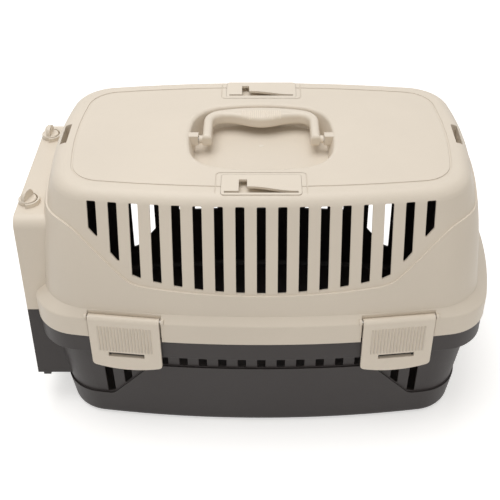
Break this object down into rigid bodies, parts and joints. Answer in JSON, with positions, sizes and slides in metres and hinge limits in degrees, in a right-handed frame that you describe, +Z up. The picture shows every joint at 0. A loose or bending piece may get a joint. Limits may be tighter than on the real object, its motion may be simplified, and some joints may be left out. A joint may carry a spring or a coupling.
{
  "type": "pet carrier",
  "caption": "Hard-shell pet carrier with slotted upper shell, dark tray, folding top handle, side clips, belt guides and an end door turned on knobbed rods",
  "frame": {"origin": "on the floor under the middle of the carrier's bounding box", "axes": "X runs along the carrier with the door at -X, Y across it with the near side of the picture at -Y, Z up"},
  "size_m": [0.5, 0.32, 0.288],
  "materials": {
    "shell_beige": "fine spark-eroded grain, satin beige",
    "tray_dark": "fine spark-eroded grain, satin warm grey-brown",
    "handle_beige": "satin beige, ribbed grip",
    "guide_beige": "satin beige",
    "clip_beige": "satin beige, ribbed thumb pad",
    "door_beige": "satin beige grille",
    "knob_beige": "satin beige",
    "rod_beige": "satin beige",
    "pin_steel": "plain drawn wire"
  },
  "bodies": {
    "shell": {"top_shell": "shell_beige", "bottom_tray": "tray_dark", "near_belt_guide": "guide_beige", "far_belt_guide": "guide_beige", "front_handle_pin": "pin_steel", "rear_handle_pin": "pin_steel", "near_front_clip_pin": "pin_steel", "near_rear_clip_pin": "pin_steel", "far_front_clip_pin": "pin_steel", "far_rear_clip_pin": "pin_steel"},
    "handle": {"carry_handle": "handle_beige"},
    "door": {"door": "door_beige"},
    "near_knob": {"near_door_knob": "knob_beige", "near_door_rod": "rod_beige"},
    "far_knob": {"far_door_knob": "knob_beige", "far_door_rod": "rod_beige"},
    "near_front_clip": {"near_front_clip": "clip_beige"},
    "near_rear_clip": {"near_rear_clip": "clip_beige"},
    "far_front_clip": {"far_front_clip": "clip_beige"},
    "far_rear_clip": {"far_rear_clip": "clip_beige"}
  },
  "joints": [
    {"name": "handle_lift", "type": "hinge", "parent": "shell", "child": "handle", "pos_m": [0, 0, 0.2805], "axis": [1, 0, 0], "range_deg": [0, 180]},
    {"name": "door_swing", "type": "hinge", "parent": "shell", "child": "door", "pos_m": [-0.24, 0.065, 0.147], "axis": [0, 0, -1], "range_deg": [0, 110]},
    {"name": "near_knob_turn", "type": "hinge", "parent": "shell", "child": "near_knob", "pos_m": [-0.24, -0.065, 0.245], "axis": [0, 0, 1], "range_deg": [0, 90]},
    {"name": "far_knob_turn", "type": "hinge", "parent": "shell", "child": "far_knob", "pos_m": [-0.24, 0.065, 0.245], "axis": [0, 0, -1], "range_deg": [0, 90]},
    {"name": "near_front_clip_swing", "type": "hinge", "parent": "shell", "child": "near_front_clip", "pos_m": [-0.1397, -0.14936, 0.1586], "axis": [-0.9934, 0.1148, 0], "range_deg": [0, 95]},
    {"name": "near_rear_clip_swing", "type": "hinge", "parent": "shell", "child": "near_rear_clip", "pos_m": [0.1397, -0.14936, 0.1586], "axis": [-0.9934, -0.1148, 0], "range_deg": [0, 95]},
    {"name": "far_front_clip_swing", "type": "hinge", "parent": "shell", "child": "far_front_clip", "pos_m": [-0.1397, 0.14936, 0.1586], "axis": [0.9934, 0.1148, 0], "range_deg": [0, 95]},
    {"name": "far_rear_clip_swing", "type": "hinge", "parent": "shell", "child": "far_rear_clip", "pos_m": [0.1397, 0.14936, 0.1586], "axis": [0.9934, -0.1148, 0], "range_deg": [0, 95]}
  ]
}
